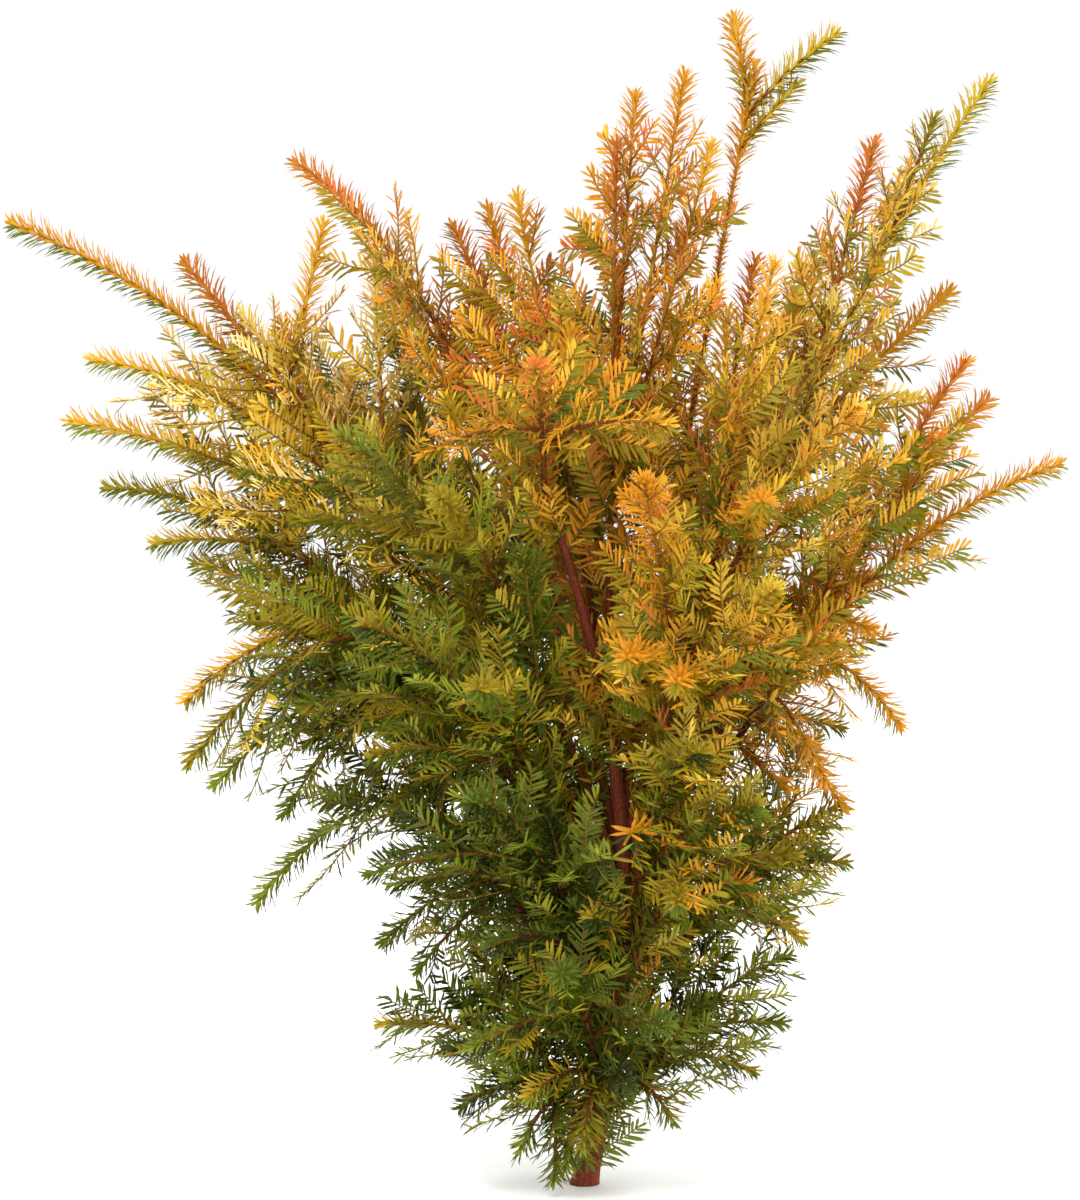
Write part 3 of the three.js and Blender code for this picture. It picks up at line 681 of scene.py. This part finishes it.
def tube_faces(rings, sides):
    """Triangles of a tube with both ends closed by fans."""
    i, j = np.meshgrid(np.arange(sides), np.arange(rings - 1))
    a = (j * sides + i).ravel()
    b = (j * sides + (i + 1) % sides).ravel()
    walls = np.concatenate([np.stack([a, b, b + sides], 1), np.stack([a, b + sides, a + sides], 1)])
    k = np.arange(1, sides - 1)
    last = (rings - 1) * sides
    start = np.stack([0 * k, k + 1, k], 1)
    end = np.stack([0 * k + last, k + last, k + last + 1], 1)
    return np.concatenate([walls, start, end])


def tube_points(curve, shares, radii, sides, side, relief=None):
    """Rings of points round a curve, at shares of its length."""
    u = at_lengths(curve, shares)
    _, across, over = cross_axes(curve, u, side)
    angle = 2 * np.pi * np.arange(sides) / sides
    r = np.broadcast_to(radii[:, None], (len(u), sides))
    if relief is not None:
        r = r + relief
    out = across[:, None] * np.cos(angle)[None, :, None] + over[:, None] * np.sin(angle)[None, :, None]
    return (bezier(curve, u)[:, None] + out * r[..., None]).reshape(-1, 3)


def bark_relief(length, shares, sides, random, depth):
    """Ridges and plates of bark, as heights in millimetres over rings and sides."""
    angle = 2 * np.pi * np.arange(sides)[None] / sides
    run = shares[:, None] * length
    height = np.zeros((len(shares), sides))
    for ribs, pitch, share in RIDGES:
        slant = random.uniform(-1, 1)
        wave = np.sin(ribs * angle + slant * run / pitch + random.uniform(0, FULL_TURN))
        breaks = np.sin(run / pitch * RIDGE_BREAKS + random.uniform(0, FULL_TURN) + wave)
        height += share * wave * breaks
    return depth * height


def settle_foot(points, middles, sides):
    """Turns the lowest rings of the stem level, so that its foot stands flat on the ground."""
    height = np.repeat(middles[:, 2], sides)
    tilt = np.clip(height / FOOT_LEVEL, 0, 1)
    points[:, 2] = height + (points[:, 2] - height) * tilt


def limb_object(name, curve, radius_at, look, random, material):
    length = arc_length(curve)
    rings = max(BARK_RINGS, int(length / look["step"]))
    shares = np.linspace(0, 1, rings)
    sides = look["sides"]
    relief = bark_relief(length, shares, sides, random, look["relief"])
    points = tube_points(curve, shares, radius_at(shares), sides, side_of(curve), relief)
    if name == "trunk":
        settle_foot(points, bezier(curve, at_lengths(curve, shares)), sides)
    obj = mesh_object(name + "_bark", points, tube_faces(rings, sides), [material])
    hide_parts(name)
    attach(obj, "root")


def make_limbs(boughs, bark):
    random = np.random.default_rng(SEED_OF["bark"])
    limb_object("trunk", TRUNK_LEAN, trunk_radius, BARK["trunk"], random, bark)
    for bough in boughs:

        def radius(u, bough=bough):
            run = u * arc_length(bough["curve"])
            return bough_radius(bough, u) + COLLAR["share"] * bough["base"] * np.exp(-run / COLLAR["long"])

        limb_object(bough["name"], bough["curve"], radius, BARK["bough"], random, bark)


# Twigs and needles


def twig_mesh(shoots):
    """Thin tubes for all the shoots of a mass, ending in a bud."""
    points, faces, slots, offset = [], [], [], 0
    for shoot in shoots:
        stalk = STALK[shoot["kind"]]
        sides = stalk["sides"]
        rings = max(STALK_RINGS, int(shoot["length"] / stalk["step"])) + 1
        shares = np.append(np.linspace(0, 1, rings - 1), 1)
        first, last = stalk["radius"]
        radii = first + (last - first) * shares
        radii[-2:] = [last * BUD["wide"], BUD["point"]]
        tube = tube_points(shoot["curve"], shares, radii, sides, shoot["side"])
        tube[-sides:] += heading(shoot["curve"], np.array([1.0]))[0] * BUD["long"]
        tube_triangles = tube_faces(rings, sides)
        brown = tube_triangles.min(1) // sides / rings < stalk["brown"]
        points.append(tube)
        faces.append(tube_triangles + offset)
        slots.append(np.where(brown, 0, 1))
        offset += len(tube)
    return np.concatenate(points), np.concatenate(faces), np.concatenate(slots)


def needle_shares(shoot, brush, random):
    """Where along a shoot its needles stand: closer together on its free end."""
    length = shoot["length"]
    free = shoot["free"] / length
    ends = int(length * free / brush["spacing"])
    inner = int(length * (1 - free) / brush["spacing"] / brush["inner"])
    inner = max(NEEDLES["fewest"], inner)
    share = np.concatenate([
        (np.arange(inner) + random.uniform(*NEEDLES["slip"], inner)) / inner * (1 - free),
        1 - free + (np.arange(ends) + random.uniform(*NEEDLES["slip"], ends)) / max(ends, 1) * free])
    bare = NEEDLES["bare"] if shoot["kind"] == "twig" else 0
    return share[share * length > bare]


def square_to(way, up, noise):
    """Unit normals square to a way, near up but for some noise."""
    face = unit(up - way * (up * way).sum(1)[:, None] + noise)
    return unit(face - way * (face * way).sum(1)[:, None])


def needle_frames(shoot, random):
    """Roots, directions, face normals, lengths and shares of one shoot's needles, and which hang."""
    brush = BRUSH[shoot["kind"]]
    share = needle_shares(shoot, brush, random)
    n = len(share)
    u = at_lengths(shoot["curve"], share)
    along, across, over = cross_axes(shoot["curve"], u, shoot["side"])
    to_tip = (1 - share) * shoot["length"]
    closing = (brush["lean"] - brush["tip_lean"]) * np.exp(-to_tip / NEEDLES["tip_reach"])
    lean = np.radians(brush["lean"] + random.normal(0, NEEDLES["lean"], n) - closing)[:, None]
    if shoot["kind"] == "leader":
        turn = np.radians(GOLDEN_TURN) * np.arange(n) + random.uniform(0, FULL_TURN)
        up = along
    else:
        rank = np.where(np.arange(n) % 2, *NEEDLES["ranks"])
        turn = np.radians(rank + random.normal(0, NEEDLES["rank_spread"], n))
        up = across * np.sign(across[:, 2:3] + LEVEL)
    out = across * np.cos(turn)[:, None] + over * np.sin(turn)[:, None]
    way = unit(along * np.cos(lean) + out * np.sin(lean))
    face = square_to(way, up, random.normal(0, NEEDLES["faces"], (n, 3)))
    rim = np.minimum(share * shoot["length"] / NEEDLES["rim"], to_tip / NEEDLES["rim"])
    least, more = NEEDLES["rim_shares"]
    long = brush["long"] * random.uniform(*NEEDLES["grown"], n) * np.clip(least + rim * more, least, 1)
    long *= np.where(share < NEEDLES["thin_until"], shoot["thin"], 1)
    return bezier(shoot["curve"], u), way, face, long, share, out[:, 2] < NEEDLES["low"]


def needle_mesh(roots, way, face, long, slots):
    """Needles as closed blades with a keel: two rings of three, and a point."""
    across = np.cross(way, face)
    points = np.empty((len(roots), BLADE_POINTS, 3))
    for ring, (share, wide, lift) in enumerate(BLADE["rings"]):
        middle = roots + way * (long * share)[:, None] + face * (long * lift)[:, None]
        half = across * BLADE["width"] / 2 * wide
        points[:, 3 * ring] = middle + half
        points[:, 3 * ring + 1] = middle + face * BLADE["thick"] * wide
        points[:, 3 * ring + 2] = middle - half
    points[:, -1] = roots + way * long[:, None] - face * (long * BLADE["droop"])[:, None]
    shape = np.array(BLADE_UPPER + BLADE_UNDER)
    turned = np.array([0] * len(BLADE_UPPER) + [1] * len(BLADE_UNDER))
    faces = (np.arange(len(roots))[:, None, None] * BLADE_POINTS + shape[None]).reshape(-1, 3)
    return points.reshape(-1, 3), faces, (slots[:, None] * 2 + turned[None]).ravel()


# Looks


GAMMA = 2.2


def linear(red, green, blue):
    """A colour as seen, 0 to 255, as the shader wants it."""
    return tuple((c / 255) ** GAMMA for c in (red, green, blue)) + (1.0,)


TINTS = {
    "deep": (50, 62, 8),
    "green": (88, 102, 16),
    "leaf": (126, 138, 34),
    "olive": (148, 126, 18),
    "yellow": (206, 172, 42),
    "gold": (236, 180, 54),
    "amber": (216, 144, 30),
    "russet": (208, 112, 44),
    "pale": (252, 220, 132),
}
TINT_NAMES = list(TINTS)
UNDERSIDE = {"share": 0.3, "colour": (196, 190, 70)}
ROUGHNESS = {"needle": 0.45, "underside": 0.6, "brown": 0.7, "green": 0.6, "bark": 0.85, "floor": 0.9}
NEEDLE_SHEEN = 0.25
TWIG_COLOURS = {"brown": (124, 66, 36), "green": (142, 108, 40)}

# Bark's two colours, where they lie in the noise, and the noise's fineness across and along
BARK_COLOURS = ((0.35, (74, 27, 8)), (0.68, (152, 66, 24)))
BARK_NOISE = {"scale": (260, 260, 60), "detail": 6}

# How often each tint is dealt to a spray's inner and shaded needles, and to its outer ones, by
# the mass's tint or by a name that some masses are given below
DEALT = {
    "shade": ({"deep": 6, "green": 2}, {"deep": 2, "green": 5, "leaf": 2}),
    "green": ({"deep": 4, "green": 4}, {"deep": 1, "green": 5, "leaf": 3, "olive": 2}),
    "moss": ({"deep": 2, "green": 4, "olive": 1}, {"green": 4, "leaf": 3, "olive": 3, "yellow": 1}),
    "olive": (
        {"deep": 2, "green": 4, "olive": 3},
        {"green": 1, "leaf": 1, "olive": 4, "yellow": 3, "gold": 2}),
    "gold": ({"olive": 3, "yellow": 4, "gold": 1}, {"yellow": 4, "gold": 5, "pale": 4}),
    "amber": ({"green": 2, "olive": 4, "amber": 1}, {"amber": 5, "gold": 4, "russet": 1, "yellow": 1}),
    "russet": ({"green": 1, "olive": 3, "amber": 2}, {"russet": 6, "amber": 3, "gold": 2}),
    "bronze": ({"deep": 2, "green": 4, "olive": 3}, {"olive": 5, "amber": 3, "leaf": 2, "gold": 1}),
    "pale": ({"green": 1, "olive": 3, "yellow": 3}, {"yellow": 4, "gold": 5, "pale": 5}),
    "tips": (
        {"olive": 4, "yellow": 2, "green": 1},
        {"gold": 4, "yellow": 3, "amber": 2, "russet": 1, "pale": 1}),
}

# Masses that are dealt other chances than those of their own tint
MASS_DEALT = {
    "tall_right": "tips", "top_tuft": "tips", "left_drop": "moss", "front_left": "moss",
    "front_foot": "green", "foot_left": "green", "front_left_low": "shade",
    "front_right_low": "bronze", "left_gold": "pale", "front_middle": "bronze",
}

# Leaders whose tints show singly in the photo: their inner and outer needles, by mass and place in
# its list
LEADER_DEALT = {
    ("far_left", 0): ("green", "amber"), ("far_left", 1): ("olive", "russet"),
    ("far_left", 3): ("olive", "gold"), ("far_left", 4): ("olive", "pale"),
    ("left_gold", 0): ("leaf", "gold"), ("left_gold", 1): ("leaf", "gold"),
    ("left_low", 0): ("green", "olive"), ("left_low", 1): ("green", "yellow"),
    ("left_low", 2): ("green", "olive"), ("left_drop", 0): ("olive", "gold"),
    ("left_drop", 1): ("green", "olive"), ("left_drop", 2): ("green", "leaf"),
    ("low_left", 0): ("green", "leaf"), ("right_drop", 0): ("olive", "amber"),
    ("right_long", 0): ("olive", "amber"), ("right_long", 1): ("amber", "russet"),
    ("right_long", 2): ("amber", "russet"), ("tall_right", 0): ("green", "yellow"),
    ("tall_right", 1): ("olive", "amber"), ("tall_right", 2): ("amber", "russet"),
    ("tall_right", 3): ("green", "olive"), ("top_tuft", 0): ("olive", "amber"),
    ("top_tuft", 1): ("olive", "amber"), ("top_tuft", 2): ("green", "yellow"),
    ("arch_left", 0): ("amber", "russet"), ("plume", 0): ("green", "russet"),
    ("plume", 1): ("olive", "amber"), ("plume", 2): ("olive", "amber"),
    ("front_right_up", 2): ("amber", "russet"), ("foot_left", 3): ("leaf", "yellow"),
    ("front_foot", 1): ("leaf", "yellow"), ("front_foot", 2): ("leaf", "olive"),
}


def plain_material(name, colour, roughness):
    """A material of one colour, and its shader."""
    material = bpy.data.materials.new(name)
    material.use_nodes = True
    shader = material.node_tree.nodes["Principled BSDF"]
    shader.inputs["Base Color"].default_value = colour
    shader.inputs["Roughness"].default_value = roughness
    return material, shader


def needle_material(name, colour, roughness):
    material, shader = plain_material(name, linear(*colour), roughness)
    shader.inputs["Specular IOR Level"].default_value = NEEDLE_SHEEN
    return material


def needle_materials():
    """Upper side and paler underside of each tint."""
    made = []
    share = UNDERSIDE["share"]
    for name, colour in TINTS.items():
        under = [c * (1 - share) + u * share for c, u in zip(colour, UNDERSIDE["colour"])]
        made.append(needle_material("needle_" + name, colour, ROUGHNESS["needle"]))
        made.append(needle_material("needle_" + name + "_under", under, ROUGHNESS["underside"]))
    return made


def twig_materials():
    return [needle_material("twig_" + age, c, ROUGHNESS[age]) for age, c in TWIG_COLOURS.items()]


def bark_material():
    """Brown in two shades, by a noise pattern stretched along the limbs."""
    material = bpy.data.materials.new("yew_bark")
    material.use_nodes = True
    nodes, links = material.node_tree.nodes, material.node_tree.links
    shader = nodes["Principled BSDF"]
    shader.inputs["Roughness"].default_value = ROUGHNESS["bark"]
    place = nodes.new("ShaderNodeTexCoord")
    stretched = nodes.new("ShaderNodeMapping")
    stretched.inputs["Scale"].default_value = BARK_NOISE["scale"]
    noise = nodes.new("ShaderNodeTexNoise")
    noise.inputs["Detail"].default_value = BARK_NOISE["detail"]
    ramp = nodes.new("ShaderNodeValToRGB")
    for element, (position, colour) in zip(ramp.color_ramp.elements, BARK_COLOURS):
        element.position = position
        element.color = linear(*colour)
    links.new(place.outputs["Object"], stretched.inputs["Vector"])
    links.new(stretched.outputs["Vector"], noise.inputs["Vector"])
    links.new(noise.outputs["Fac"], ramp.inputs["Fac"])
    links.new(ramp.outputs["Color"], shader.inputs["Base Color"])
    return material


def deal(chances, random):
    """The number of a tint, drawn with the chances given by name."""
    names = list(chances)
    weights = np.array([chances[n] for n in names], float)
    return TINT_NAMES.index(names[random.choice(len(names), p=weights / weights.sum())])


def spray_needles(shoot, chances, named, random):
    """One shoot's needles that may show, with the numbers of their dealt or named tints."""
    roots, way, face, long, share, low = needle_frames(shoot, random)
    inner, outer = (deal(c, random) for c in chances)
    if named:
        inner, outer = (TINT_NAMES.index(t) for t in named)
    slots = np.where(low | (share < random.uniform(*NEEDLES["shaded"])), inner, outer)
    tips = roots + way * long[:, None]
    shown = ~(hides_trunk(tips) | hides_trunk(roots))
    shown &= np.minimum(tips[:, 2], roots[:, 2]) > NEEDLES["ground"]
    return [a[shown] for a in (roots, way, face, long, slots)]


def make_mass(index, shoots, tints, stems):
    """One mass's needles and twigs as two pieces."""
    name, tint = MASSES[index][:2]
    random = np.random.default_rng(SEED_OF["mass"] + index)
    chances = DEALT[MASS_DEALT.get(name, tint)]
    sprays = [
        spray_needles(shoot, chances, LEADER_DEALT.get((name, place)), random)
        for place, shoot in enumerate(shoots)]
    points, faces, slots = needle_mesh(*(np.concatenate(a) for a in zip(*sprays)))
    needles = mesh_object("needles_" + name, points, faces, tints, slots, smooth=False)
    points, faces, slots = twig_mesh(shoots)
    stalks = mesh_object("twigs_" + name, points, faces, stems, slots)
    for obj, slot in ((needles, "needles_" + tint), (stalks, "bark")):
        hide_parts("foliage_" + name)
        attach(obj, "root")


# Floor, light and camera


FLOOR_HALF = 40

# Round lamps: name, place, width and power. They face a point in the crown.
LAMPS = [
    ("key", (-1.3, -1.9, 2.9), 1.4, 66),
    ("right", (2.6, -1.2, 1.6), 1.6, 34),
    ("top_back", (0.4, 1.9, 2.8), 1.6, 36),
]
LIT_POINT = (0, 0, 0.5)
WORLD = {"colour": (1, 1, 1, 1), "strength": 1.03}


def make_floor():
    corners = [(x * FLOOR_HALF, y * FLOOR_HALF, 0) for x, y in ((-1, -1), (1, -1), (1, 1), (-1, 1))]
    mesh = bpy.data.meshes.new("floor")
    mesh.from_pydata(corners, [], [(0, 1, 2, 3)])
    mesh.materials.append(plain_material("floor_pale", (1, 1, 1, 1), ROUGHNESS["floor"])[0])
    floor = bpy.data.objects.new("floor", mesh)
    bpy.context.scene.collection.objects.link(floor)


def area_light(name, place, size, power):
    data = bpy.data.lights.new(name, "AREA")
    data.shape = "DISK"
    data.size = size
    data.energy = power
    light = bpy.data.objects.new(name, data)
    light.location = place
    light.rotation_euler = (Vector(LIT_POINT) - Vector(place)).to_track_quat("-Z", "Y").to_euler()
    bpy.context.scene.collection.objects.link(light)


def make_lights():
    for lamp in LAMPS:
        area_light(*lamp)
    world = bpy.data.worlds.new("studio")
    world.use_nodes = True
    background = world.node_tree.nodes["Background"]
    background.inputs["Color"].default_value = WORLD["colour"]
    background.inputs["Strength"].default_value = WORLD["strength"]
    bpy.context.scene.world = world


def make_camera():
    """Looks along +Y from a little above, so that the picture's middle is where the photo's is."""
    target, eye = (Vector(p * MM) for p in camera_place())
    data = bpy.data.cameras.new("camera")
    data.sensor_width = CAMERA["sensor"]
    data.lens = CAMERA["sensor"] * CAMERA["distance"] / (PHOTO["high"] * PHOTO["mm_per_pixel"] * MM)
    camera = bpy.data.objects.new("camera", data)
    camera.location = eye
    camera.rotation_euler = (target - eye).to_track_quat("-Z", "Y").to_euler()
    bpy.context.scene.collection.objects.link(camera)
    bpy.context.scene.camera = camera


def main():
    boughs, masses = grow_yew()
    tints = needle_materials()
    bark = bark_material()
    stems = twig_materials()
    make_limbs(boughs, bark)
    for index, shoots in enumerate(masses):
        make_mass(index, shoots, tints, stems)
    make_floor()
    make_lights()
    make_camera()
    bpy.context.scene.view_settings.view_transform = "Standard"
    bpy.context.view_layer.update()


main()
